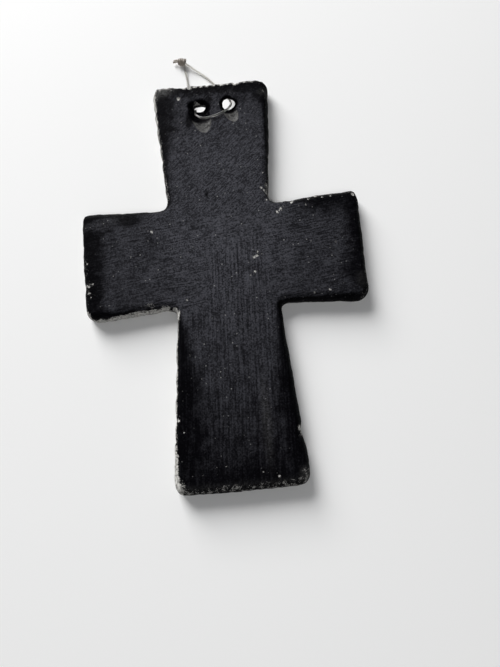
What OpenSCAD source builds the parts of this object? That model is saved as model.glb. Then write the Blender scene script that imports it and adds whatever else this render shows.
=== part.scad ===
// Small hand-made clay cross, painted black, on a tied loop of clear nylon line.
// It lies on its back: +X to its right arm, +Y to its top, +Z up. Millimetres.

/* [Cross] */
// Height of the cross, foot to top
height = 71.4; // [68:0.2:76]
// Span across the two arms
span = 47.6; // [45:0.2:52]
// Thickness of the clay slab
thickness = 3.1; // [2.6:0.1:4]
// Height of the crossing's middle above the middle of the cross
arm_y = 2.7; // [1:0.1:5]

/* [Limbs] */
// Width of the top limb at its end
top_w = 21.6; // [19:0.1:23]
// Width of the top limb where it meets the arms
neck_w = 17.5; // [15:0.1:18]
// Width of the shaft just under the arms
waist_w = 17.2; // [15:0.1:18]
// Width of the shaft at its foot
foot_w = 21.4; // [19:0.1:23]
// Height of both arms where they meet the shaft
root_h = 17.6; // [15:0.1:18]
// Height of the left arm at its end
left_end_h = 19.4; // [18:0.1:21]
// Height of the right arm at its end
right_end_h = 19.7; // [18:0.1:21]

/* [Corners and edges] */
// Radius of the worn, rounder outer corners
soft_r = 2; // [1.6:0.1:2.4]
// Radius of the crisper outer corners
crisp_r = 1.5; // [1.4:0.1:2]
// Radius of the four inner corners
pit_r = 1.1; // [0.6:0.1:1.5]
// How far the front edge is rounded in from the widest line
front_round = 1.3; // [0.8:0.1:1.3]
// Radius of the back edge
back_round = 0.45; // [0.2:0.05:0.6]
// Height of the widest line above the back
belly_z = 1.2; // [0.8:0.1:1.4]

/* [Holes] */
// Diameter of both pierced holes
hole_d = 2.3; // [2:0.1:2.5]
// Lean of the left hole, its front mouth towards the foot, in degrees
left_lean = 24; // [15:1:28]
// Lean of the right hole, in degrees
right_lean = 36; // [30:1:38]
// Diameter of the left hole's dished mouth
left_dish_d = 4.3; // [3:0.1:4.6]
// Diameter of the right hole's dished mouth
right_dish_d = 3.3; // [3:0.1:3.6]

/* [Line] */
// Diameter of the nylon line
line_d = 0.35; // [0.3:0.01:0.36]
// Slope of the back behind the top limb, which leaves room for the line, in degrees
back_slope = 2.4; // [2.3:0.1:3]

/* [Hidden] */
$fn = 48;

paint_black = [0.07, 0.07, 0.08];
nylon_clear = [0.86, 0.87, 0.84];
knot_brown = [0.52, 0.48, 0.44];

// Unevenness left by the hand
foot_shift = 0.5;
root_skew = 0.15;
left_arm_tilt = 0.6;
end_drop = 0.15;
right_trim = 0.1;
foot_rise = 0.3;

// The outline's corners, clockwise from the top left: x, y, radius and the arc's steps
arc_steps = 6;
pit_steps = 4;
half_h = height / 2;
half_span = span / 2;
bend_drop = 3.4;
bend_r = 12;
shaft_bend = [waist_w / 2 + foot_shift + root_skew, arm_y - root_h / 2 - bend_drop];
corners = [
    [-top_w / 2, half_h, crisp_r, arc_steps],
    [top_w / 2, half_h - right_trim, soft_r, arc_steps],
    [neck_w / 2 - right_trim, arm_y + root_h / 2 - root_skew, pit_r, pit_steps],
    [half_span, arm_y + right_end_h / 2 - end_drop, crisp_r, arc_steps],
    [half_span - right_trim, arm_y - right_end_h / 2 - end_drop, soft_r, arc_steps],
    [waist_w / 2 + foot_shift, arm_y - root_h / 2 - root_skew, pit_r, pit_steps],
    [shaft_bend.x, shaft_bend.y, bend_r, pit_steps],
    [foot_w / 2 + foot_shift, -half_h + foot_rise, soft_r, arc_steps],
    [-foot_w / 2 + foot_shift, -half_h, soft_r, arc_steps],
    [-waist_w / 2 + foot_shift, arm_y - root_h / 2 + root_skew, pit_r, pit_steps],
    [-half_span + left_arm_tilt, arm_y - left_end_h / 2 - end_drop, soft_r, arc_steps],
    [-half_span, arm_y + left_end_h / 2 - end_drop, crisp_r, arc_steps],
    [-neck_w / 2 - right_trim, arm_y + root_h / 2 + root_skew, pit_r, pit_steps]
];
corner_count = len(corners);

// Section through the edge, from the back face to the front face: inset and height
back_steps = 3;
front_steps = 7;
section = concat(
    [for (i = [0 : back_steps])
        let (t = 90 * i / back_steps)
        [back_round * (1 - sin(t)), back_round * (1 - cos(t))]],
    [for (i = [0 : front_steps])
        let (t = 90 * i / front_steps)
        [front_round * (1 - cos(t)), belly_z + (thickness - belly_z) * sin(t)]]
);

function unit(v) = v / norm(v);
function xy(c) = [c.x, c.y];

// Outward normal of the side that leaves corner i, on a clockwise outline
function side_normal(i) =
    let (d = unit(xy(corners[(i + 1) % corner_count]) - xy(corners[i])))
    [-d.y, d.x];

// One corner moved in by an inset and rounded: its radius grows or shrinks with the inset
function corner_arc(i, inset) =
    let (
        before = side_normal((i + corner_count - 1) % corner_count),
        after = side_normal(i),
        cosine = before * after,
        turn = before.x * after.y - before.y * after.x,
        outer = turn < 0,
        r = outer ? max(corners[i][2] - inset, 0.1) : corners[i][2] + inset,
        tip = xy(corners[i]) - inset * (before + after) / (1 + cosine),
        way = outer ? 1 : -1,
        middle = tip - way * r * (before + after) / (1 + cosine),
        steps = corners[i][3],
        sweep = acos(cosine)
    )
    [for (s = [0 : steps])
        let (t = sweep * s / steps, start = atan2(way * before.y, way * before.x))
        middle + r * [cos(start - way * t), sin(start - way * t)]];

function outline(inset) = [for (i = [0 : corner_count - 1]) each corner_arc(i, inset)];

// The slab: the outline stacked along the section, centred on its own widest box
widest = outline(0);
ring_size = len(widest);
middle_x = (max([for (p = widest) p.x]) + min([for (p = widest) p.x])) / 2;
middle_y = (max([for (p = widest) p.y]) + min([for (p = widest) p.y])) / 2;
slab_rings = [for (s = section)
    for (p = outline(s[0])) [p.x - middle_x, p.y - middle_y, s[1]]];
slab_middles = [[0, arm_y, 0], [0, arm_y, thickness]];

// A skin round stacked rings of points, without its two ends
function tube_skin(rings, size) =
    [for (k = [0 : rings - 2]) for (j = [0 : size - 1])
        let (a = k * size + j, b = k * size + (j + 1) % size)
        [a, b, b + size, a + size]];

// One end of a tube, as triangles round its own middle point
function end_fan(first, size, middle, turned) =
    [for (j = [0 : size - 1])
        let (a = first + j, b = first + (j + 1) % size)
        turned ? [a, b, middle] : [b, a, middle]];

// A closed tube: its rings come first in the points, then the middles of its two ends
function closed_skin(rings, size) = concat(
    tube_skin(rings, size),
    end_fan(0, size, rings * size, false),
    end_fan((rings - 1) * size, size, rings * size + 1, true)
);

module slab() {
    polyhedron(concat(slab_rings, slab_middles), closed_skin(len(section), ring_size));
}

// Room for the line: the back slopes away from the table towards the top edge
slope_start_y = 20;
module back_relief() {
    translate([0, slope_start_y, 0])
        rotate([back_slope, 0, 0])
            translate([-half_span, 0, -thickness])
                cube([span, height, thickness]);
}

// A pierced hole, its middle given at half thickness: bore and dished mouth
left_hole = [-2.1, 30.8];
right_hole = [3.1, 31.3];
through = 4 * thickness;
dish_start = 0.2;
module pierced_hole(place, lean, dish_d) {
    translate([place.x, place.y, thickness / 2])
        rotate([lean, 0, 0]) {
            cylinder(h = through, d = hole_d, center = true);
            translate([0, 0, dish_start])
                cylinder(h = thickness, d1 = hole_d, d2 = 2 * dish_d - hole_d);
        }
}

// The ramp that the piercing tool dragged below a hole: low end, steepness and diameter
left_ramp = [-1.3, 25.2];
left_ramp_slope = 24;
left_ramp_d = 2.8;
right_ramp = [3.9, 27.2];
right_ramp_slope = 32;
right_ramp_d = 1.6;
module dragged_ramp(low_end, slope, ramp_d) {
    translate([low_end.x, low_end.y, thickness])
        rotate([-90 - slope, 0, 0])
            translate([0, -ramp_d / 2, 0])
                cylinder(h = 2 * thickness, d = ramp_d);
}

module cross_body() {
    color(paint_black)
        difference() {
            slab();
            back_relief();
            pierced_hole(left_hole, left_lean, left_dish_d);
            pierced_hole(right_hole, right_lean, right_dish_d);
            dragged_ramp(left_ramp, left_ramp_slope, left_ramp_d);
            dragged_ramp(right_ramp, right_ramp_slope, right_ramp_d);
        }
}

// Route of the line, end to end: knot, left leg, left hole, front, right hole, right leg, knot
line_route = [
    [-4.6, 41.5, 0.7], [-4.5, 40.8, 0.5], [-4.4, 40.0, 0.32], [-4.3, 39.1, 0.22],
    [-4.2, 38.2, 0.18], [-4.15, 37.2, 0.18], [-4.1, 36.1, 0.18], [-4.05, 35.0, 0.18],
    [-4.0, 34.0, 0.18], [-3.9, 33.1, 0.18], [-3.7, 32.35, 0.2], [-3.35, 31.8, 0.26],
    [-3.0, 31.45, 0.5], [-2.9, 31.2, 0.95], [-2.85, 30.9, 1.4], [-2.9, 30.45, 1.75],
    [-2.95, 29.95, 2.05], [-2.9, 29.35, 2.5], [-2.6, 28.7, 2.95], [-2.1, 28.2, 3.18],
    [-1.4, 27.9, 3.28], [-0.6, 27.9, 3.29], [0.3, 28.1, 3.29], [1.3, 28.4, 3.29],
    [2.2, 28.8, 3.27], [2.9, 29.4, 3.0], [3.35, 30.3, 2.5], [3.55, 31.2, 1.7],
    [3.6, 32.1, 0.95], [3.5, 32.9, 0.4], [3.1, 33.8, 0.2], [2.5, 34.7, 0.18],
    [1.8, 35.6, 0.18], [1.0, 36.6, 0.18], [0.1, 37.7, 0.18], [-0.8, 38.7, 0.2],
    [-1.8, 39.6, 0.28], [-2.8, 40.4, 0.44], [-3.7, 41.1, 0.6], [-4.3, 41.6, 0.72]
];
route_count = len(line_route);
line_sides = 8;

// Direction of the route at point i
function heading(i) =
    unit(line_route[min(i + 1, route_count - 1)] - line_route[max(i - 1, 0)]);

// Side direction carried from ring to ring, so that the tube doesn't twist
function side_at(i) =
    let (
        h = heading(i),
        last = i == 0 ? [0, 0, 1] : side_at(i - 1)
    )
    unit(last - (last * h) * h);

function line_ring(i) =
    let (u = side_at(i), v = cross(heading(i), u))
    [for (s = [0 : line_sides - 1])
        let (t = 360 * (s + 0.5) / line_sides)
        line_route[i] + line_d / 2 * (cos(t) * u - sin(t) * v)];

module hanging_line() {
    color(nylon_clear)
        polyhedron(
            concat(
                [for (i = [0 : route_count - 1]) each line_ring(i)],
                [line_route[0], line_route[route_count - 1]]
            ),
            closed_skin(route_count, line_sides)
        );
}

// The knot: a squat lump of tight turns, with both cut ends beside it
knot_place = [-4.9, 42.0, 0.75];
knot_facets = 20;
knot_lumps = [[-0.35, 0.1, 0, 0.75], [0.3, 0.15, 0, 0.7], [0.1, -0.35, -0.05, 0.65]];
tail_lumps = [[-0.6, 0.15, -0.05, 0.25], [-1.5, 0.35, -0.1, 0.25]];
module rounded_lump(lumps) {
    hull()
        for (lump = lumps)
            translate(knot_place + [lump.x, lump.y, lump.z])
                sphere(r = lump[3], $fn = knot_facets);
}

module line_knot() {
    color(knot_brown)
        union() {
            rounded_lump(knot_lumps);
            rounded_lump(tail_lumps);
        }
}

cross_body();
hanging_line();
line_knot();
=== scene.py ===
"""A small hand-made clay cross, painted black and worn, on a tied loop of clear nylon line.

It lies on its back on a pale table: +X to its right arm, +Y to its pierced top, +Z up. Metres.
"""
import math

import bmesh
import bpy
import numpy as np
from mathutils import Matrix, Vector, kdtree
from mathutils.geometry import delaunay_2d_cdt


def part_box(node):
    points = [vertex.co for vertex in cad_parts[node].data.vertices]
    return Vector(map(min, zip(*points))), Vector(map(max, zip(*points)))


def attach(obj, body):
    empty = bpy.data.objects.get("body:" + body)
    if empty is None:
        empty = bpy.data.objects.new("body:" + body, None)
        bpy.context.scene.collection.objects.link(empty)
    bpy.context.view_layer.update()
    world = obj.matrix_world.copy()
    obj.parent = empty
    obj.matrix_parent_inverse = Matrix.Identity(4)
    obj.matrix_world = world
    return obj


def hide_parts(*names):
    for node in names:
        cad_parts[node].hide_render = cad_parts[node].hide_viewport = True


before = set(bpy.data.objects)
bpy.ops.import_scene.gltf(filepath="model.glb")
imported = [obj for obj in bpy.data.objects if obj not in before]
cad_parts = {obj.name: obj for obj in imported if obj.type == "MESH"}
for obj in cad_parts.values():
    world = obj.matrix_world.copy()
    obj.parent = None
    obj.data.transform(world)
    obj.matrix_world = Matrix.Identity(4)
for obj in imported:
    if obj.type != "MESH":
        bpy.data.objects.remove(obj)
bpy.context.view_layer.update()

mm = 0.001

# ---------------------------------------------------------------- camera
# The cross is seen from close above its foot, a hand's width up, so that the view spreads
# towards the pierced top. The camera looks down on it lying, turned a little.
eye = Vector((5.1, -28.9, 80.5)) * mm
aim = Vector((3.5, -10.8, 0)) * mm
roll = math.radians(4.8)


def add(name, data):
    """A new object in the scene, at the origin."""
    thing = bpy.data.objects.new(name, data)
    bpy.context.collection.objects.link(thing)
    return thing


forward = (aim - eye).normalized()
level = forward.cross(Vector((0, 1, 0))).normalized()
right = Matrix.Rotation(roll, 3, forward) @ level
up = right.cross(forward)
camera_data = bpy.data.cameras.new("camera")
camera_data.lens = 27
camera_data.clip_start = 1 * mm
camera = add("camera", camera_data)
camera.matrix_world = Matrix.Translation(eye) @ Matrix((right, up, -forward)).transposed().to_4x4()
bpy.context.scene.camera = camera

# ---------------------------------------------------------------- light and table
# A wide soft window beyond the top left corner, a weak lamp beyond the foot, and even light all
# round. A narrow lamp at the camera lights only the table that shows through the two holes. The
# table is a plain pale sheet.
scene = bpy.context.scene
scene.view_settings.view_transform = "Standard"
world = bpy.data.worlds.new("room")
world.use_nodes = True
room_light = world.node_tree.nodes["Background"].inputs
room_light["Color"].default_value = (0.95, 0.97, 1.0, 1)
room_light["Strength"].default_value = 0.11
scene.world = world


def soft_light(name, place, size, watts):
    """A square soft light that faces the middle of the table."""
    data = bpy.data.lights.new(name, "AREA")
    data.size = size
    data.energy = watts
    light = add(name, data)
    light.location = place
    light.rotation_euler = (-Vector(place)).to_track_quat("-Z", "Y").to_euler()


soft_light("window", (-0.24, 0.48, 0.3), 0.36, 5.6)
soft_light("front", (0.016, -0.12, 0.2), 0.06, 0.08)


def new_material(name, **finish):
    """A material with one Principled shader, its even values set on the shader itself."""
    material = bpy.data.materials.new(name)
    material.use_nodes = True
    shader = material.node_tree.nodes["Principled BSDF"]
    for key, value in finish.items():
        shader.inputs[key.replace("_", " ")].default_value = value
    return material, material.node_tree, shader


half = 1.5
table_corners = [(-half, -half, 0), (half, -half, 0), (half, half, 0), (-half, half, 0)]
table_mesh = bpy.data.meshes.new("table")
table_mesh.from_pydata(table_corners, [], [(0, 1, 2, 3)])
pale_table = new_material("pale table", Base_Color=(0.96, 0.96, 0.955, 1), Roughness=0.9,
                          Specular_IOR_Level=0.0)[0]
table_mesh.materials.append(pale_table)
table = add("table", table_mesh)

holes_middle = Vector((0.5, 31, 1.5)) * mm
hole_lamp = bpy.data.lights.new("hole lamp", "SPOT")
hole_lamp.energy = 0.45
hole_lamp.spot_size = math.radians(6)
hole_lamp.spot_blend = 0.8
hole_lamp.shadow_soft_size = 1 * mm
narrow_light = add("hole lamp", hole_lamp)
narrow_light.location = eye
narrow_light.scale = (1, 0.6, 1)
narrow_light.rotation_euler = (holes_middle - eye).to_track_quat("-Z", "Y").to_euler()
only_table = bpy.data.collections.new("lit through the holes")
only_table.objects.link(table)
narrow_light.light_linking.receiver_collection = only_table

# ---------------------------------------------------------------- nylon line
# One length of clear fishing line: from the knot, down behind the top limb, out of the left
# hole, across the front, back through the right hole and up to the knot again.
line_diameter = 0.35 * mm
line_sides = 12
line_route = [
    (-4.6, 41.5, 0.7), (-4.5, 40.8, 0.5), (-4.4, 40.0, 0.32), (-4.3, 39.1, 0.22),
    (-4.2, 38.2, 0.18), (-4.15, 37.2, 0.18), (-4.1, 36.1, 0.18), (-4.05, 35.0, 0.18),
    (-4.0, 34.0, 0.18), (-3.9, 33.1, 0.18), (-3.7, 32.35, 0.2), (-3.35, 31.8, 0.26),
    (-3.0, 31.45, 0.5), (-2.9, 31.2, 0.95), (-2.85, 30.9, 1.4), (-2.9, 30.45, 1.75),
    (-2.95, 29.95, 2.05), (-2.9, 29.35, 2.5), (-2.6, 28.7, 2.95), (-2.1, 28.2, 3.18),
    (-1.4, 27.9, 3.28), (-0.6, 27.9, 3.29), (0.3, 28.1, 3.29), (1.3, 28.4, 3.29),
    (2.2, 28.8, 3.27), (2.9, 29.4, 3.0), (3.35, 30.3, 2.5), (3.55, 31.2, 1.7),
    (3.6, 32.1, 0.95), (3.5, 32.9, 0.4), (3.1, 33.8, 0.2), (2.5, 34.7, 0.18),
    (1.8, 35.6, 0.18), (1.0, 36.6, 0.18), (0.1, 37.7, 0.18), (-0.8, 38.7, 0.2),
    (-1.8, 39.6, 0.28), (-2.8, 40.4, 0.44), (-3.7, 41.1, 0.6), (-4.3, 41.6, 0.72),
]


def smooth_path(points, steps):
    """A smooth curve through all the points, with so many steps between neighbours."""
    knots = np.array(points, float)
    ends = np.vstack([2 * knots[0] - knots[1], knots, 2 * knots[-1] - knots[-2]])
    out = []
    for i in range(len(knots) - 1):
        a, b, c, d = ends[i:i + 4]
        for t in np.arange(steps) / steps:
            bend = (2 * a - 5 * b + 4 * c - d) * t**2
            twist = (3 * b - a - 3 * c + d) * t**3
            out.append(0.5 * (2 * b + (c - a) * t + bend + twist))
    return np.array(out + [knots[-1]])


def put(tree, kind, inputs=None, **settings):
    """Adds one node: its settings, then its inputs, each a plain value or another node's output."""
    new = tree.nodes.new(kind)
    for key, value in settings.items():
        setattr(new, key, value)
    for key, value in (inputs or {}).items():
        if isinstance(value, bpy.types.NodeSocket):
            tree.links.new(value, new.inputs[key])
        else:
            new.inputs[key].default_value = value
    return new


def shape_tree(name, sizes):
    """A new Geometry Nodes tree with an input for each size, and the inputs' identifiers."""
    tree = bpy.data.node_groups.new(name, "GeometryNodeTree")
    face = tree.interface
    face.new_socket("Geometry", in_out="INPUT", socket_type="NodeSocketGeometry")
    sockets = {}
    for size, kind in sizes.items():
        sockets[size] = face.new_socket(size, in_out="INPUT", socket_type=kind).identifier
    face.new_socket("Geometry", in_out="OUTPUT", socket_type="NodeSocketGeometry")
    return tree, put(tree, "NodeGroupInput").outputs, sockets


def end_tree(tree, geometry, material):
    """Ends a tree in smooth shading, real geometry and one material."""
    smooth = put(tree, "GeometryNodeSetShadeSmooth", {"Geometry": geometry})
    real = put(tree, "GeometryNodeRealizeInstances", {0: smooth.outputs[0]})
    done = put(tree, "GeometryNodeSetMaterial", {"Geometry": real.outputs[0], "Material": material})
    put(tree, "NodeGroupOutput", {0: done.outputs[0]})


def baked(piece):
    """Turns what the piece's modifiers give into its own plain mesh, and removes them."""
    graph = bpy.context.evaluated_depsgraph_get()
    graph.update()
    mesh = bpy.data.meshes.new_from_object(piece.evaluated_get(graph))
    piece.modifiers.clear()
    piece.data = mesh


def run_tree(piece, tree, sockets, values):
    """Runs a tree on a piece with these sizes, and keeps what it gives as the piece's mesh."""
    modifier = piece.modifiers.new(tree.name, "NODES")
    modifier.node_group = tree
    for size, value in values.items():
        modifier[sockets[size]] = value
    baked(piece)


def outward(mesh):
    """Turns a closed mesh so that its faces point outwards."""
    work = bmesh.new()
    work.from_mesh(mesh)
    bmesh.ops.remove_doubles(work, verts=work.verts, dist=1e-7)
    bmesh.ops.recalc_face_normals(work, faces=work.faces)
    if work.calc_volume(signed=True) < 0:
        bmesh.ops.reverse_faces(work, faces=work.faces)
    work.to_mesh(mesh)
    work.free()


def laid_line(name, paths, material):
    """One piece made of a round, closed length of line along each path."""
    points = []
    edges = []
    for path in paths:
        first = len(points)
        points += [tuple(p) for p in path]
        edges += [(i, i + 1) for i in range(first, len(points) - 1)]
    mesh = bpy.data.meshes.new(name)
    mesh.from_pydata(points, edges, [])
    piece = add(name, mesh)
    line_sizes = {"Line radius": "NodeSocketFloat", "Sides round": "NodeSocketInt"}
    tree, given, sockets = shape_tree("round line", line_sizes)
    run = put(tree, "GeometryNodeMeshToCurve", {"Mesh": given["Geometry"]})
    ring = put(tree, "GeometryNodeCurvePrimitiveCircle",
               {"Resolution": given["Sides round"], "Radius": given["Line radius"]})
    tube = put(tree, "GeometryNodeCurveToMesh",
               {"Curve": run.outputs[0], "Profile Curve": ring.outputs[0], "Fill Caps": True})
    end_tree(tree, tube.outputs[0], material)
    run_tree(piece, tree, sockets, {"Line radius": line_diameter / 2, "Sides round": line_sides})
    outward(piece.data)
    return piece


def nylon(name, tint, clearness, roughness):
    """Clear nylon: see-through, with a faint milky tint and a surface that isn't quite even."""
    material, tree, shader = new_material(
        name, IOR=1.53, Transmission_Weight=clearness, Roughness=roughness
    )
    place = put(tree, "ShaderNodeTexCoord").outputs["Object"]
    milk = put(tree, "ShaderNodeTexNoise", {"Vector": place, "Scale": 1.2 / mm, "Detail": 2.0})
    deeper = [c * 0.8 for c in tint]
    tone = put(tree, "ShaderNodeMix", {0: milk.outputs[0], 6: (*tint, 1), 7: (*deeper, 1)},
               data_type="RGBA")
    tree.links.new(tone.outputs[2], shader.inputs["Base Color"])
    bump = put(tree, "ShaderNodeBump",
               {"Height": milk.outputs[0], "Strength": 0.04, "Distance": 0.02 * mm})
    tree.links.new(bump.outputs[0], shader.inputs["Normal"])
    return material


line_path = smooth_path(line_route, 4) * mm
clear_nylon = nylon("clear nylon", (0.8, 0.78, 0.73), 0.98, 0.28)
line = laid_line("nylon_line", [line_path], clear_nylon)
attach(line, "root")
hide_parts("hanging_line")

# ---------------------------------------------------------------- knot
# The tight knot that closes the loop: both ends of the line run through its middle, side by
# side, and end in two short cut tails. Turns of the same line are pulled tight around them.
knot_middle = Vector((-4.95, 42.0, 0.72)) * mm
knot_way = Vector((0.96, -0.28, 0)).normalized()
knot_side = Vector((0.28, 0.96, 0)).normalized()
turn_radius = 0.46 * mm
turn_pitch = 0.3 * mm
turns = 4.2
turn_steps = 120
bight_steps = 60


def knot_point(along, across, height):
    return knot_middle + knot_way * along + knot_side * across + Vector((0, 0, height))


coil = []
for i in range(turn_steps + 1):
    t = i / turn_steps
    angle = 2 * math.pi * turns * t
    along = (t - 0.5) * turns * turn_pitch
    swell = 0.62 + 0.38 * math.sin(math.pi * t) ** 0.5
    coil.append(knot_point(along, turn_radius * swell * math.cos(angle) * 1.15,
                           turn_radius * swell * math.sin(angle)))
bight = []
for i in range(bight_steps + 1):
    t = i / bight_steps
    angle = math.pi * (0.1 + 1.5 * t)
    bight.append(knot_point((0.62 - 0.3 * t) * mm, 0.52 * mm * math.cos(angle),
                            0.5 * mm * math.sin(angle) * 0.9))
left_tail = smooth_path([(-4.6, 41.5, 0.7), (-4.7, 41.85, 0.75), (-5.1, 42.05, 0.72),
                         (-5.6, 42.2, 0.68), (-6.1, 42.3, 0.6), (-6.6, 42.32, 0.5)], 8) * mm
right_tail = smooth_path([(-4.3, 41.6, 0.72), (-4.55, 41.85, 0.78), (-5.0, 42.15, 0.85),
                          (-5.5, 42.35, 0.8), (-6.0, 42.5, 0.7), (-6.45, 42.55, 0.55)], 8) * mm
handled_nylon = nylon("handled nylon", (0.36, 0.31, 0.26), 0.25, 0.35)
knot = laid_line("tied_knot", [coil, bight, left_tail, right_tail], handled_nylon)
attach(knot, "root")
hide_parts("line_knot")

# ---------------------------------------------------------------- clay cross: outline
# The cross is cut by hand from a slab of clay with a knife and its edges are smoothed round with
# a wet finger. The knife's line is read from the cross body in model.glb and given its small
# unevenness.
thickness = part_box("cross_body")[1].z
belly = 1.2 * mm
crossing = Vector((0, 2.7 * mm))
column_gap = 0.16 * mm

knife = np.array([v.co[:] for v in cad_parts["cross_body"].data.vertices])
knife = knife[np.abs(knife[:, 2] - belly) < 1e-6][:, :2]
knife = np.unique(knife.round(7), axis=0)
knife = knife[np.argsort(np.arctan2(knife[:, 1] - crossing.y, knife[:, 0] - crossing.x))]
knife = np.vstack([knife, knife[:1]])
walked = np.concatenate([[0], np.cumsum(np.linalg.norm(np.diff(knife, axis=0), axis=1))])
columns = int(walked[-1] / column_gap)
stops = np.arange(columns) * walked[-1] / columns
outline = np.stack([np.interp(stops, walked, knife[:, k]) for k in (0, 1)], axis=1)


def eased(values, reach):
    """A closed run of values, each blended with its neighbours within reach columns."""
    offsets = np.arange(-3 * reach, 3 * reach + 1)
    weights = np.exp(-0.5 * (offsets / reach) ** 2)
    weights /= weights.sum()
    return sum(w * np.roll(values, -o, axis=0) for o, w in zip(offsets, weights))


outline = eased(outline, 2)
ahead = np.roll(outline, -1, axis=0) - np.roll(outline, 1, axis=0)
ahead /= np.linalg.norm(ahead, axis=1)[:, None]
facing = eased(np.stack([ahead[:, 1], -ahead[:, 0]], axis=1), 2)
facing /= np.linalg.norm(facing, axis=1)[:, None]
rng = np.random.default_rng(12)


def ripple(wavelength, height):
    """Random unevenness round the outline, about so long and so high."""
    rough = eased(rng.normal(size=columns), max(int(wavelength / column_gap / 4), 1))
    return np.clip(rough / rough.std(), -1.5, 2.5) * height


top_edge = (facing[:, 1] > 0.7) * (outline[:, 1] > 30 * mm)
inset = 0.05 * mm + ripple(8 * mm, 0.04 * mm) + ripple(1.4 * mm, 0.03 * mm)
inset += (0.03 * mm + ripple(0.7 * mm, 0.06 * mm)) * top_edge

# Nicks in the edge: x, y, half length and depth, in millimetres
nicks = [
    (-5.2, 35.7, 0.9, 0.4), (-10.8, 35.0, 0.8, 0.2), (-3.0, 35.7, 0.4, -0.05),
    (0.4, 35.7, 0.3, 0.12), (2.6, 35.7, 0.2, 0.1), (4.7, 35.7, 0.35, 0.15),
    (9.5, 35.6, 0.6, 0.1), (-1.2, 35.7, 0.25, 0.12), (-9.9, 31.0, 0.4, 0.15),
    (-9.7, 28.0, 0.35, 0.15), (-9.4, 24.5, 0.5, 0.15), (-9.1, 21.0, 0.4, 0.12),
    (10.8, -27.2, 0.7, 0.3), (-8.6, -15.8, 0.4, 0.15), (-8.9, -20.0, 0.5, 0.12),
    (-9.4, -24.3, 0.6, 0.15), (-9.6, -27.3, 0.3, 0.15), (23.6, 11.0, 0.5, 0.12),
    (12.4, 11.4, 0.5, 0.15), (20.5, 12.1, 0.6, 0.1), (-23.6, 10.6, 0.6, 0.1),
    (-10.2, -6.2, 0.7, 0.15), (-23.6, -1.0, 0.6, 0.1), (24.0, -4.3, 0.5, 0.08),
]
for x, y, half_length, depth in nicks:
    middle = np.linalg.norm(outline / mm - (x, y), axis=1).argmin()
    steps_off = np.abs((np.arange(columns) - middle + columns // 2) % columns - columns // 2)
    inset += depth * mm * np.exp(-0.5 * (steps_off * column_gap / (half_length * mm)) ** 2)

# ---------------------------------------------------------------- clay cross: slab
# Rows of points climb the rounded edge from the back to the front. Both faces are filled with
# a mesh fine enough to carry the marks, and finer where the stick has pressed the clay.
back_round = 0.45 * mm
front_round = 1.3 * mm
back_slope = math.tan(math.radians(2.4))
slope_start = 20 * mm
slope_blend = 1.5 * mm
section = []
for t in np.linspace(0, math.pi / 2, 5):
    section.append((back_round * (1 - math.sin(t)), back_round * (1 - math.cos(t))))
for z in np.linspace(back_round, belly, 5)[1:]:
    section.append((0.0, z))
for t in np.linspace(0, math.pi / 2, 15)[1:]:
    section.append((front_round * (1 - math.cos(t)), belly + (thickness - belly) * math.sin(t)))


def lift(y):
    """How far the back rises off the table behind the top limb, where the line passes."""
    return back_slope * slope_blend * np.logaddexp(0, (y - slope_start) / slope_blend)


def rise(low, high, value):
    """0 before low, 1 past high, and smooth between. With low above high it falls."""
    t = np.clip((value - low) / (high - low), 0, 1)
    return t * t * (3 - 2 * t)


def spot(x, y, middle, half_x, half_y, turn=0):
    """1 at the middle of an oval spot and falling smoothly to 0 round it, in millimetres."""
    c = math.cos(math.radians(turn))
    s = math.sin(math.radians(turn))
    u = ((x - middle[0]) * c + (y - middle[1]) * s) / half_x
    v = ((y - middle[1]) * c - (x - middle[0]) * s) / half_y
    return np.exp(-0.7 * (u * u + v * v) ** 1.5)


def dragged(x, y, middle, drift, half_x, half_y):
    """1 along the middle of the scoop that the stick drags below its hole, 0 at its rim."""
    u = (x - middle[0] - drift * (middle[1] - y)) / half_x
    v = np.minimum(y - middle[1], 0) / half_y
    return np.maximum(1 - u * u - v * v, 0) * (y < middle[1] + 1)


# In millimetres. Each scoop: upper end, sideways drift, half width and length. Each dish:
# middle, reach, depth, and how its uneven lobes are turned.
left_scoop = ((-1.95, 28.6), 0.16, 1.75, 3.5)
right_scoop = ((3.2, 29.2), 0.34, 1.25, 2.35)
left_scoop_depth = 1.25
right_scoop_depth = 1.0
dishes = [(-2.15, 30.0, 2.25, 1.6, 0.5), (3.1, 30.45, 1.75, 1.5, 2.1)]
dish_floor = 0.7


def pressed(x, y):
    """How deep the stick has dished and dragged the front round both holes, in millimetres."""
    depth = np.zeros(len(x))
    for middle_x, middle_y, reach, deep, lobes in dishes:
        turn = np.arctan2(y - middle_y, x - middle_x)
        uneven = 1 + 0.07 * np.sin(3 * turn + lobes) + 0.05 * np.sin(5 * turn + 3 * lobes)
        off = np.hypot(x - middle_x, y - middle_y) / uneven
        depth = np.maximum(depth, deep * (1 - rise(dish_floor, reach, off)))
    depth = np.maximum(depth, left_scoop_depth * dragged(x, y, *left_scoop) ** 0.8)
    depth = np.maximum(depth, right_scoop_depth * dragged(x, y, *right_scoop) ** 0.8)
    lip = 0.22 * spot(x, y, (4.5, 32.2), 1.3, 0.4, -50)
    lip += 0.12 * spot(x, y, (-4.2, 29.0), 0.4, 1.0)
    return depth - lip * (depth < 0.3)


rows = len(section)
points = []
for step_in, z in section:
    wobble = inset * max(1 - step_in / front_round, 0) ** 0.5
    ring = outline - facing * (step_in + wobble)[:, None]
    raised = np.maximum(1 - z / belly, 0) * lift(ring[:, 1])
    points.append(np.column_stack([ring, z + raised]))
points = np.vstack(points)
faces = []
for low in range(0, (rows - 1) * columns, columns):
    for c in range(columns):
        d = (c + 1) % columns
        faces.append((low + c, low + d, low + columns + d, low + columns + c))


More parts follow.
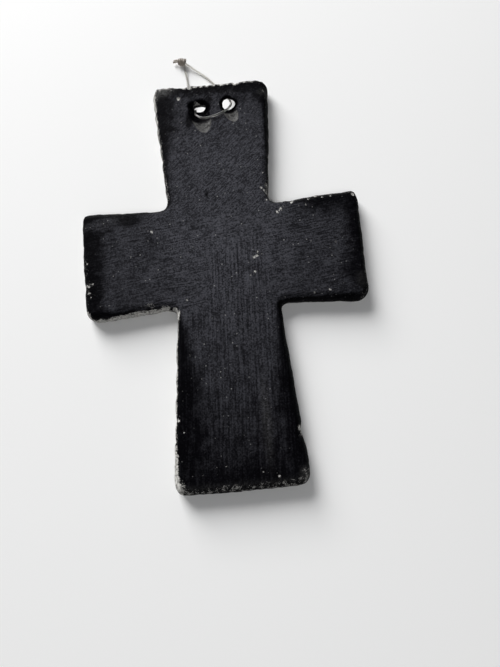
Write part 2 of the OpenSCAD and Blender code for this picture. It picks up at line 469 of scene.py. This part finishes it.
def grid_inside(rim, gap):
    """Points of an even triangular grid that lie well inside a closed rim."""
    steps_x = np.arange(rim[:, 0].min(), rim[:, 0].max(), gap)
    steps_y = np.arange(rim[:, 1].min(), rim[:, 1].max(), gap * math.sqrt(3) / 2)
    x, y = np.meshgrid(steps_x, steps_y)
    x = x + (np.arange(len(steps_y)) % 2 * gap / 2)[:, None]
    grid = np.column_stack([x.ravel(), y.ravel()])
    turn = np.arctan2(rim[:, 1] - crossing.y, rim[:, 0] - crossing.x)
    order = turn.argsort()
    reach = np.linalg.norm(rim - crossing[:], axis=1)[order]
    grid_turn = np.arctan2(grid[:, 1] - crossing.y, grid[:, 0] - crossing.x)
    limit = np.interp(grid_turn, turn[order], reach, period=2 * math.pi)
    grid = grid[np.linalg.norm(grid - crossing[:], axis=1) < limit]
    tree = kdtree.KDTree(len(rim))
    for i, p in enumerate(rim):
        tree.insert((p[0], p[1], 0), i)
    tree.balance()
    return np.array([p for p in grid if tree.find((p[0], p[1], 0))[2] > gap * 0.6])


def by_holes(grid):
    """Which points of a grid lie in the part of the front that the stick has pressed."""
    return np.all(np.abs(grid / mm - (0.4, 29.5)) < (6.5, 5.2), axis=1)


def cap(points, row, grid, height_at, upwards):
    """Fills one face of the slab inside a row of the edge: all the points, and the new faces."""
    first = row * columns
    rim = points[first:first + columns, :2]
    flat = [Vector(p) for p in rim] + [Vector(p) for p in grid]
    border = [(i, (i + 1) % columns) for i in range(columns)]
    found, _, triangles, origin, _, _ = delaunay_2d_cdt(flat, border, [], 1, 1e-9)
    index = {}
    new = []
    for i, sources in enumerate(origin):
        if sources and sources[0] < columns:
            index[i] = first + sources[0]
        else:
            index[i] = len(points) + len(new)
            new.append(found[i][:])
    new = np.array(new)
    points = np.vstack([points, np.column_stack([new, height_at(new[:, 0], new[:, 1])])])
    filled = []
    for triangle in triangles:
        corner = [index[i] for i in triangle]
        a, b, c = (points[i][:2] for i in corner)
        turned_up = (b[0] - a[0]) * (c[1] - a[1]) - (b[1] - a[1]) * (c[0] - a[0]) > 0
        filled.append(tuple(corner if turned_up == upwards else corner[::-1]))
    return points, filled


front_rim = points[(rows - 1) * columns:, :2]
coarse = grid_inside(front_rim, 0.3 * mm)
fine = grid_inside(front_rim, 0.13 * mm)
front_grid = np.vstack([coarse[~by_holes(coarse)], fine[by_holes(fine)]])
back_grid = grid_inside(points[:columns, :2], 0.6 * mm)
points, front_faces = cap(points, rows - 1, front_grid,
                          lambda x, y: thickness - pressed(x / mm, y / mm) * mm, True)
points, back_faces = cap(points, 0, back_grid, lambda x, y: lift(y), False)

slab_mesh = bpy.data.meshes.new("clay_cross")
slab_mesh.from_pydata(points.tolist(), [], faces + front_faces + back_faces)
cross = add("clay_cross", slab_mesh)
outward(cross.data)

# ---------------------------------------------------------------- clay cross: holes
# A round stick that leans to the foot was pushed right through the soft clay, twice. The left
# hole has closed a little behind it and is wider than it is tall.
# Each hole: middle near the back, lean in degrees, half width and half height. Millimetres
stick_holes = [((-2.15, 31.5, 0.6), 24, 1.1, 0.54), ((3.1, 32.12, 0.6), 36, 1.12, 0.85)]
stick_length = 9 * mm
sticks = []
for i, (middle, lean, half_width, half_height) in enumerate(stick_holes):
    work = bmesh.new()
    bmesh.ops.create_cone(work, cap_ends=True, segments=64, radius1=mm, radius2=mm,
                          depth=stick_length)
    long_edges = [e for e in work.edges if abs(e.verts[0].co.z - e.verts[1].co.z) > mm]
    bmesh.ops.subdivide_edges(work, edges=long_edges, cuts=30)
    for v in work.verts:
        turn = math.atan2(v.co.y, v.co.x)
        uneven = 1 + 0.05 * math.sin(3 * turn + i) + 0.03 * math.sin(v.co.z / mm * 3 + 2 * turn)
        v.co.x *= half_width * uneven
        v.co.y *= half_height * uneven
    leaning = Matrix.Rotation(math.radians(lean), 4, "X")
    work.transform(Matrix.Translation(Vector(middle) * mm) @ leaning)
    bmesh.ops.triangulate(work, faces=work.faces)
    mesh = bpy.data.meshes.new("stick")
    work.to_mesh(mesh)
    work.free()
    stick = add("stick", mesh)
    sticks.append(stick)
    cut = cross.modifiers.new("hole", "BOOLEAN")
    cut.operation = "DIFFERENCE"
    cut.solver = "EXACT"
    cut.object = stick
baked(cross)
outward(cross.data)
for stick in sticks:
    bpy.data.objects.remove(stick)

# ---------------------------------------------------------------- clay cross: wear
# Where each point lies is kept as paint facts on the mesh: how grey the black is from rubbing,
# from a painted sheen and from painted shade, where it never took or has chipped off, where dust
# sits, where dirt and painted shade darken the outline, and which way the brush went.
co = np.array([v.co[:] for v in cross.data.vertices])
near = kdtree.KDTree(columns)
for i, p in enumerate(outline):
    near.insert((p[0], p[1], 0), i)
near.balance()
nearest = [near.find((p[0], p[1], 0)) for p in co]
edge = np.array([n[2] for n in nearest]) / mm
faces_right, faces_top = facing[[n[1] for n in nearest]].T
x, y, z = (co / mm).T
front = rise(1.0, 2.0, z)

# Worn spots: x, y, radius and strength, in millimetres
worn_spots = [
    # Top edge
    (-10.0, 34.2, 0.3, 0.75), (-9.9, 33.2, 0.22, 0.7), (-8.9, 34.6, 0.26, 0.7),
    (-7.0, 34.3, 0.22, 0.8), (-4.6, 34.6, 0.3, 0.9), (-3.6, 34.55, 0.4, 0.95),
    (-2.6, 34.7, 0.3, 0.9), (-1.6, 34.65, 0.3, 0.85), (-0.4, 34.7, 0.28, 0.9),
    (0.8, 34.7, 0.28, 0.9), (2.1, 34.65, 0.34, 0.9), (3.2, 34.7, 0.28, 0.85),
    (4.7, 34.65, 0.42, 1.1), (4.7, 35.0, 0.22, 1.0), (6.2, 34.7, 0.26, 0.85),
    (7.6, 34.75, 0.26, 0.85),
    # Round the holes and down the top limb
    (-5.65, 32.45, 0.26, 1.05), (9.6, 32.4, 0.26, 0.45), (-2.5, 31.05, 0.41, 0.95),
    (-2.9, 30.9, 0.26, 0.9), (4.75, 29.5, 0.11, 0.7), (4.6, 28.6, 0.11, 0.6),
    (3.1, 22.8, 0.11, 0.4), (-7.2, 21.2, 0.14, 0.5), (-5.2, 20.3, 0.14, 0.5),
    (0.9, 18.9, 0.14, 0.7),
    # Upper right inner corner
    (8.0, 16.4, 0.13, 0.7), (8.9, 15.3, 0.16, 0.75), (8.6, 14.2, 0.18, 0.75),
    (7.6, 13.6, 0.13, 0.7), (8.0, 13.2, 0.15, 0.8), (8.3, 12.7, 0.16, 0.75),
    (8.9, 11.8, 0.18, 0.75), (8.2, 11.4, 0.15, 0.8), (9.1, 10.2, 0.15, 0.8),
    (10.9, 9.7, 0.18, 0.7), (10.4, 9.4, 0.24, 0.8), (9.9, 9.0, 0.24, 0.8),
    # Right arm
    (12.3, 10.5, 0.21, 0.85), (13.6, 9.7, 0.11, 0.8), (14.8, 9.8, 0.14, 0.8),
    (15.2, 10.8, 0.15, 0.85), (15.6, 10.0, 0.09, 0.7), (16.4, 11.2, 0.19, 0.8),
    (17.5, 10.8, 0.14, 0.8), (18.9, 11.0, 0.15, 0.8), (22.8, 11.0, 0.3, 1.0),
    (18.9, 2.7, 0.11, 0.7), (17.8, 1.7, 0.11, 0.7), (12.5, -3.4, 0.11, 0.7),
    (17.0, -5.3, 0.19, 0.7), (14.5, -5.6, 0.15, 0.6),
    # Crossing
    (5.2, 1.3, 0.2, 0.95), (5.8, 1.5, 0.19, 0.9), (5.9, 2.1, 0.16, 0.8),
    (5.2, -1.2, 0.18, 0.9), (4.5, -1.8, 0.14, 0.8), (-6.1, -4.9, 0.14, 0.8),
    (-3.1, -5.8, 0.11, 0.7),
    # Left arm
    (-11.5, 7.3, 0.17, 0.9), (-12.1, 7.6, 0.11, 0.7), (-22.4, 2.8, 0.2, 0.6),
    (-22.5, 1.1, 0.2, 0.6), (-21.5, -0.9, 0.2, 0.55), (-22.7, -1.0, 0.3, 0.6),
    (-22.2, -1.4, 0.2, 0.6), (-22.2, -2.5, 0.21, 0.6), (-21.3, -2.6, 0.15, 0.6),
    (-21.8, -3.1, 0.15, 0.55), (-17.5, -6.9, 0.19, 0.9), (-15.6, -6.8, 0.22, 0.9),
    (-14.3, -6.8, 0.19, 0.9), (-9.3, -6.4, 0.38, 0.9),
    # Shaft and foot
    (-6.2, -14.0, 0.11, 0.6), (-8.6, -24.1, 0.26, 0.7), (-7.8, -26.0, 0.17, 0.8),
    (-9.0, -29.4, 0.15, 0.8), (10.2, -26.7, 0.36, 1.1), (10.6, -27.4, 0.4, 1.1),
    (9.7, -27.8, 0.15, 0.8), (-3.2, -31.6, 0.11, 0.7), (-1.5, -31.6, 0.12, 0.9),
    (-5.2, -32.7, 0.11, 0.5), (3.9, -32.7, 0.15, 0.9), (4.4, -32.8, 0.11, 0.7),
    (6.2, -33.6, 0.17, 0.6), (-8.2, -34.6, 0.3, 0.6),
]
spots = np.zeros(len(co))
for spot_x, spot_y, radius, strength in worn_spots:
    away = np.hypot(x - spot_x, y - spot_y) / radius
    spots = np.maximum(spots, strength * np.exp(-0.5 * away**2) * front)

# Fine chips are most common on the arris of the top edge, the foot, the right arm's top edge,
# both arms' ends, the upper right inner corner and the top limb's left edge
chance = 0.1 + 0.4 * rise(30, 34, y) * rise(0.3, 0.9, faces_top) * rise(-0.2, 0.7, edge)
foot_chance = 0.25 * rise(31.5, 33.5, -y)
chance += foot_chance + 0.2 * rise(9, 11, x) * rise(0.5, 0.9, faces_top) * (y > 8)
chance += 0.16 * rise(20, 22, -x) * (1 - rise(2, 5, np.abs(y)))
corner_chance = 0.22 * (x > 6) * (x < 10) * rise(10, 12, y) * rise(17, 15, y)
chance += 0.16 * rise(21, 23, x) * rise(1, 3, -y) + corner_chance
chance += 0.3 * rise(0.5, 0.9, -faces_right) * rise(11, 14, y)
chip_reach = np.select([y < -30, x < -18, y > 32], [2.0, 2.2, 1.8], 1.2)
chips = chance * (1 - rise(0.3 * chip_reach, chip_reach, edge)) * front


def most(*layers):
    """The strongest of several layers at each point."""
    return np.maximum.reduce(layers)


# The paint never took on the sides that face left, nor under the arms. How far in from the
# outline the bare clay reaches changes down the cross.
bare_width = np.interp(y, [-36, -33, -28, -8, -7.4, -6, -4.5, -3, 12, 22, 29, 34, 36],
                       [1.5, 1.1, 0.5, 0.3, 0.8, 0.6, 0.35, 0.14, 0.22, 0.26, 0.45, 0.6, 0.3])
under_width = np.interp(x, [-23, -19, -16, -11, -9], [0.1, 0.15, 0.3, 0.25, 0.5])
left_side = rise(0.3, 0.75, -faces_right)
underside = rise(0.6, 0.9, -faces_top)
under_left_arm = underside * rise(0, 1.5, -x - 8.5) * rise(-12, -9, y)
under_right_arm = underside * rise(8, 8.5, x) * rise(-10, -9, y)
off_table = z - lift(co[:, 1]) / mm
bare = most(
    left_side * (1 - rise(-0.45, 0.45, edge - bare_width)),
    under_left_arm * (1 - rise(-0.3, 0.3, edge - under_width)),
    0.75 * under_right_arm * (1 - rise(0.5, 0.8, z)),
    0.7 * (1 - rise(0.1, 0.4, off_table)) * (edge < 0.8) * (1 - front),
    0.95 * spot(x, y, (-9.9, -34.6), 1.7, 1.5),
    spot(x, y, (-9.2, -7.0), 1.6, 0.8, -40),
    0.3 * spot(x, y, (-11.8, -5.2), 1.3, 0.7),
    spots,
    chips,
)

# Flakes break off most on the arris, more so on the top limb, and at the worn spots
top_arris = 1 + rise(0.3, 0.9, faces_top) * (np.abs(x) < 12)
worn = most(-0.3 + 0.16 * (1 - rise(0.2, 1.1, edge)) * top_arris, -0.25 + 0.45 * spots)

# Dust and thin paint, by place: the two scoops, the corners, a run down the foot, and thin
# lines along the foot and the top edge
foot_line = np.exp(-0.5 * ((y + 34.6) / 0.45) ** 2)
top_line = np.exp(-0.5 * ((edge - 0.5) / 0.35) ** 2)
dust = front * most(
    0.9 * rise(0, 0.16, dragged(x, y, *left_scoop)) * (1 - rise(27.5, 28.2, y)),
    rise(0, 0.2, dragged(x, y, *right_scoop)) * (1 - rise(28.9, 29.4, y)),
    0.55 * spot(x, y, (-9.0, 34.5), 2.4, 1.2, 8),
    0.13 * spot(x, y, (5.0, -25.0), 0.7, 5.5),
    0.3 * spot(x, y, (10.1, -33.8), 0.7, 1.2),
    0.08 * spot(x, y, (22.4, -4.2), 0.9, 1.4),
    0.06 * spot(x, y, (-19.5, 9.8), 3.5, 0.7, 8),
    0.2 * spot(x, y, (9.5, 32.3), 0.9, 0.6),
    0.08 * foot_line * front * (np.abs(x) < 11),
    0.12 * top_line * rise(0.3, 0.9, faces_top) * front,
)

# The face is grey, lightest at the crossing and darker towards the foot and the limbs' ends: partly
# paint worn by rubbing, partly a painted sheen of the window. Painted shade darkens a band along
# the rounded edges that widens towards the ends, and the face is darker in the dished holes.
rubbed_sheen_and_shade = np.interp(y, [-36, -31, -25, -15, -6, 4, 14, 22, 27, 36],
                   [0.12, 0.19, 0.34, 0.55, 0.72, 0.93, 0.85, 0.82, 0.7, 0.35])
rubbed_sheen_and_shade *= np.interp(np.abs(x), [0, 9, 14, 24], [1, 0.85, 0.62, 0.5])
# Painted shade: how wide the dark band along the edges is, widening towards the limbs' ends
along_limb = np.where(y > 2.7, rise(16, 33, y), rise(6, 22, -y))
shaded_margin = 1.0 + 2.8 * np.maximum(rise(10, 21, np.abs(x)), along_limb)
shaded_margin *= 1 - 0.8 * rise(0.5, 0.9, -faces_top) * (y > -12) * rise(-22, -18, x)
wide_left = rise(8, 14, y) + (x < -18) + 1.5 * rise(6, 11, -y)
shaded_margin *= 1 + 0.45 * rise(0.4, 0.9, -faces_right) * wide_left
shaded_margin *= 1 - 0.6 * rise(0.4, 0.9, faces_right) * rise(7, 10, y) * rise(32, 29, y) * (x < 13)
rubbed_sheen_and_shade *= rise(0.1, 1.0, (edge - 0.2) / shaded_margin) ** 1.3
rubbed_sheen_and_shade *= 1 - 0.9 * rise(0.05, 0.3, pressed(x, y))
brush_end = 0.5 * spot(x, y, (-19.7, 9.7), 3.0, 1.0, 8) * rise(0.2, 0.6, edge)
rubbed_sheen_and_shade = np.maximum(rubbed_sheen_and_shade, brush_end)

# Thick dark strokes left in the rubbed face: middle, half width, half height, turn and depth
thick_strokes = [
    ((-21.0, 7.3), 2.8, 0.5, 22, 0.7), ((-3.9, 28.2), 0.7, 2.0, -10, 0.85),
    ((-15.2, 9.6), 2.2, 0.9, 0, 0.75), ((5.5, 33.7), 4.5, 1.1, 0, 0.65),
    ((18.0, 9.4), 5.0, 1.7, 0, 0.5), ((20.6, -2.6), 1.3, 2.2, 0, 0.5),
    ((-8.6, 32.2), 1.8, 0.8, 0, 0.7), ((-11.5, 5.0), 1.2, 2.4, 0, 0.35),
    ((-6.8, 26.4), 0.7, 0.5, 0, 0.8), ((-0.5, 31.5), 0.7, 1.0, 0, 0.7),
    ((12.4, 6.1), 0.9, 0.3, 0, 0.6), ((4.2, -0.5), 0.3, 0.4, 0, 0.7),
    ((2.2, -3.0), 0.3, 0.3, 0, 0.6), ((-1.8, 13.4), 0.3, 0.7, 0, 0.8),
    ((-14.5, 6.0), 1.2, 0.2, 0, 0.5),
]
for middle, half_x, half_y, turn, depth in thick_strokes:
    rubbed_sheen_and_shade *= 1 - depth * spot(x, y, middle, half_x, half_y, turn)

paint_facts = {
    "worn": worn,
    "bare": bare,
    "dust": dust,
    # Grey of the paint: rubbing, painted sheen and painted shade
    "rubbed_sheen_and_shade": rubbed_sheen_and_shade,
    "upright": most(rise(-4.0, -1.5, x) * (1 - rise(5.5, 9.0, x)) * (1 - rise(1, 8, y)),
                    (np.abs(x) < 11.5) * rise(5.5, 8.5, -y)),
    "slanted": rise(7, 12, y) * (np.abs(x) < 12),
    # Darker clay along the outline: partly dirt, partly painted shade
    "outline_dirt_and_shade": (1 - rise(0.02, 0.28, edge)) * (1 - under_left_arm),
}
for name, values in paint_facts.items():
    layer = cross.data.attributes.new(name, "FLOAT", "POINT")
    layer.data.foreach_set("value", np.asarray(values, np.float32))

# ---------------------------------------------------------------- clay cross: paint
# Black paint was brushed on in one thin coat: along each arm, down the shaft, and across on
# the slant above. It has worn to a grain of grey, which also carries a painted sheen and painted
# shade, and pale clay shows where it is off.
thick_black = (0.0012, 0.0011, 0.0018, 1)
# Grey of worn paint, also standing in for the painted sheen
worn_and_sheen_grey = (0.095, 0.096, 0.112, 1)
fleck_grey = (0.27, 0.27, 0.265, 1)
dust_grey = (0.165, 0.163, 0.16, 1)
pale_clay = (0.66, 0.65, 0.62, 1)
dull_clay = (0.22, 0.215, 0.205, 1)
stained_clay = (0.17, 0.165, 0.16, 1)
# Clay darkened along the outline: partly dirt, partly painted shade
dirty_shaded_clay = (0.16, 0.155, 0.15, 1)


def joined(operation, a, b):
    """One Math node on two values, of which the first is another node's output."""
    return put(a.id_data, "ShaderNodeMath", {0: a, 1: b}, operation=operation).outputs[0]


def sum_of(first, *others):
    for other in others:
        first = joined("ADD", first, other)
    return first


def times(a, b):
    return joined("MULTIPLY", a, b)


def ramp(value, low, high, start=0.0, end=1.0):
    """From start at low to end at high, smooth between and level outside."""
    limits = {"Value": value, "From Min": low, "From Max": high, "To Min": start, "To Max": end}
    return put(value.id_data, "ShaderNodeMapRange", limits,
               interpolation_type="SMOOTHSTEP").outputs[0]


def black_paint():
    """Brushed black paint over pale clay, which shows where the paint is worn or missing."""
    material, tree, shader = new_material("worn black paint", Specular_IOR_Level=0.015)
    place = put(tree, "ShaderNodeTexCoord").outputs["Object"]

    def read(name):
        return put(tree, "ShaderNodeAttribute", attribute_name=name).outputs["Fac"]

    def streaks(turn, across, long):
        sized = put(tree, "ShaderNodeMapping",
                    {"Vector": place, "Rotation": (0, 0, math.radians(turn)),
                     "Scale": (long * mm, across * mm, mm)}, vector_type="TEXTURE")
        return put(tree, "ShaderNodeTexNoise",
                   {"Vector": sized.outputs[0], "Scale": 1.0, "Detail": 3.0}).outputs[0]

    def cloud(size, detail=4.0, rough=0.6):
        return put(tree, "ShaderNodeTexNoise",
                   {"Vector": place, "Scale": 1 / (size * mm), "Detail": detail,
                    "Roughness": rough}).outputs[0]

    def swing(noise, height):
        return times(sum_of(noise, -0.5), height)

    def blend(a, b, amount):
        return put(tree, "ShaderNodeMix", {0: amount, 2: a, 3: b}).outputs[0]

    def colours(a, b, amount):
        return put(tree, "ShaderNodeMix", {0: amount, 6: a, 7: b}, data_type="RGBA").outputs[2]

    # Grey: brush streaks, grain and broad patches, with blotches where the black is thick. How much
    # grey shows follows the painted sheen and painted shade kept on the mesh
    rubbed_sheen_and_shade = read("rubbed_sheen_and_shade")
    brush = blend(streaks(8, 0.22, 2.0), streaks(88, 0.3, 6.0), read("upright"))
    brush = blend(brush, streaks(40, 0.22, 1.4), read("slanted"))
    grain = cloud(0.26, 3.0, 0.7)
    tone = sum_of(swing(brush, 3.0), swing(grain, 4.8), swing(cloud(2.2), 1.3))
    blotches = sum_of(times(rubbed_sheen_and_shade, 1.3), swing(cloud(1.3), 1.7))
    grey = times(rubbed_sheen_and_shade, ramp(tone, -0.9, 0.9, 0.25, 1.6))
    grey = times(grey, ramp(blotches, 0.0, 0.55, 0.15, 1.05))
    grey = sum_of(grey, ramp(tone, -0.1, 1.2, 0.0, 0.16))
    paint = colours(thick_black, worn_and_sheen_grey, times(grey, 0.5))

    # Tiny pale flecks in some of the cells of an even scatter
    fleck = put(tree, "ShaderNodeTexVoronoi", {"Vector": place, "Scale": 1 / (0.75 * mm)})
    few = put(tree, "ShaderNodeSeparateColor", {0: fleck.outputs["Color"]}).outputs[0]
    flecks = times(ramp(fleck.outputs["Distance"], 0.06, 0.17, 1.0, 0.0), ramp(few, 0.6, 0.9))
    flecks = times(flecks, ramp(rubbed_sheen_and_shade, 0.1, 0.7, 0.3, 1.0))
    paint = colours(paint, fleck_grey, flecks)

    # Powdery dust
    powder = sum_of(times(grain, 0.5), times(cloud(0.45), 0.5))
    haze = times(read("dust"), ramp(powder, 0.38, 0.62, 0.25, 1.0))
    dusty = colours(paint, dust_grey, haze)

    # Clay: dull in patches, stained where little paint is off, and darker along the outline, partly
    # dirt and partly painted shade
    bare = read("bare")
    clay = colours(dull_clay, pale_clay, ramp(cloud(0.4, 5.0), 0.32, 0.68))
    clay = colours(stained_clay, clay, ramp(bare, 0.15, 0.65))
    outline_darkening = times(read("outline_dirt_and_shade"), ramp(cloud(0.5), 0.3, 0.6, 0.3, 0.9))
    clay = colours(clay, dirty_shaded_clay, outline_darkening)

    # Ragged edges between paint and clay
    torn = sum_of(swing(cloud(0.18, 3.0, 0.7), 2.0), swing(cloud(0.8, 2.0), 1.6))
    chipped = ramp(sum_of(bare, times(torn, ramp(bare, 0.0, 0.2))), 0.44, 0.56)
    tree.links.new(colours(dusty, clay, chipped), shader.inputs["Base Color"])

    satin = ramp(tone, -0.9, 0.9, 0.62, 0.5)
    rough = blend(sum_of(satin, times(haze, 0.3)), 0.9, chipped)
    tree.links.new(rough, shader.inputs["Roughness"])
    height = sum_of(tone, times(chipped, -1.2))
    bump = put(tree, "ShaderNodeBump", {"Height": height, "Strength": 0.5, "Distance": 0.03 * mm})
    tree.links.new(bump.outputs[0], shader.inputs["Normal"])
    return material


# ---------------------------------------------------------------- clay cross: weathering
# Flakes break from the arris where it is knocked, the finger leaves the faces uneven, and the
# brush leaves fine ridges along each limb.
weather_sizes = {
    "Flake size": 0.8 * mm, "Flake depth": 0.12 * mm, "Finger mark size": 6 * mm,
    "Finger mark depth": 0.3 * mm, "Brush ridge depth": 0.03 * mm, "Seed": 5.0,
}


def weather(piece, material):
    """Roughens the slab with finger marks, brush ridges and broken flakes, and paints it."""
    tree, given, sockets = shape_tree("weathering", dict.fromkeys(weather_sizes, "NodeSocketFloat"))
    place = put(tree, "GeometryNodeInputPosition").outputs[0]

    def named(name):
        return put(tree, "GeometryNodeInputNamedAttribute", {"Name": name},
                   data_type="FLOAT").outputs["Attribute"]

    def lumps(size, detail, seed_shift):
        scale = put(tree, "ShaderNodeMath", {0: 1.0, 1: size}, operation="DIVIDE").outputs[0]
        return put(tree, "ShaderNodeTexNoise",
                   {"Vector": place, "W": sum_of(given["Seed"], seed_shift), "Scale": scale,
                    "Detail": detail}, noise_dimensions="4D").outputs[0]

    def ridges(turn, across, long):
        turned = put(tree, "ShaderNodeVectorRotate",
                     {"Vector": place, "Rotation": (0, 0, math.radians(-turn))},
                     rotation_type="EULER_XYZ")
        sized = put(tree, "ShaderNodeVectorMath",
                    {0: turned.outputs[0], 1: (1 / (long * mm), 1 / (across * mm), 0.2 / mm)},
                    operation="MULTIPLY")
        return put(tree, "ShaderNodeTexNoise",
                   {"Vector": sized.outputs[0], "Scale": 1.0, "Detail": 2.0}).outputs[0]

    flake = ramp(sum_of(lumps(given["Flake size"], 3.0, 0.0), named("worn")), 0.5, 0.6)
    finger = sum_of(lumps(given["Finger mark size"], 1.5, 7.0), -0.32)
    brush = put(tree, "ShaderNodeMix",
                {0: named("upright"), 2: ridges(8, 0.8, 6), 3: ridges(88, 0.8, 9)}).outputs[0]
    inwards = sum_of(times(flake, given["Flake depth"]), times(finger, given["Finger mark depth"]),
                     times(brush, given["Brush ridge depth"]))
    normal = put(tree, "GeometryNodeInputNormal").outputs[0]
    offset = put(tree, "ShaderNodeVectorMath",
                 {0: normal, "Scale": times(inwards, -1.0)}, operation="SCALE").outputs[0]
    bare_now = joined("MAXIMUM", named("bare"), times(flake, 0.7))
    marked = put(tree, "GeometryNodeStoreNamedAttribute",
                 {"Geometry": given["Geometry"], "Name": "bare", "Value": bare_now},
                 data_type="FLOAT", domain="POINT")
    moved = put(tree, "GeometryNodeSetPosition",
                {"Geometry": marked.outputs[0], "Offset": offset})
    end_tree(tree, moved.outputs[0], material)
    run_tree(piece, tree, sockets, weather_sizes)


weather(cross, black_paint())
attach(cross, "root")
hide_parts("cross_body")
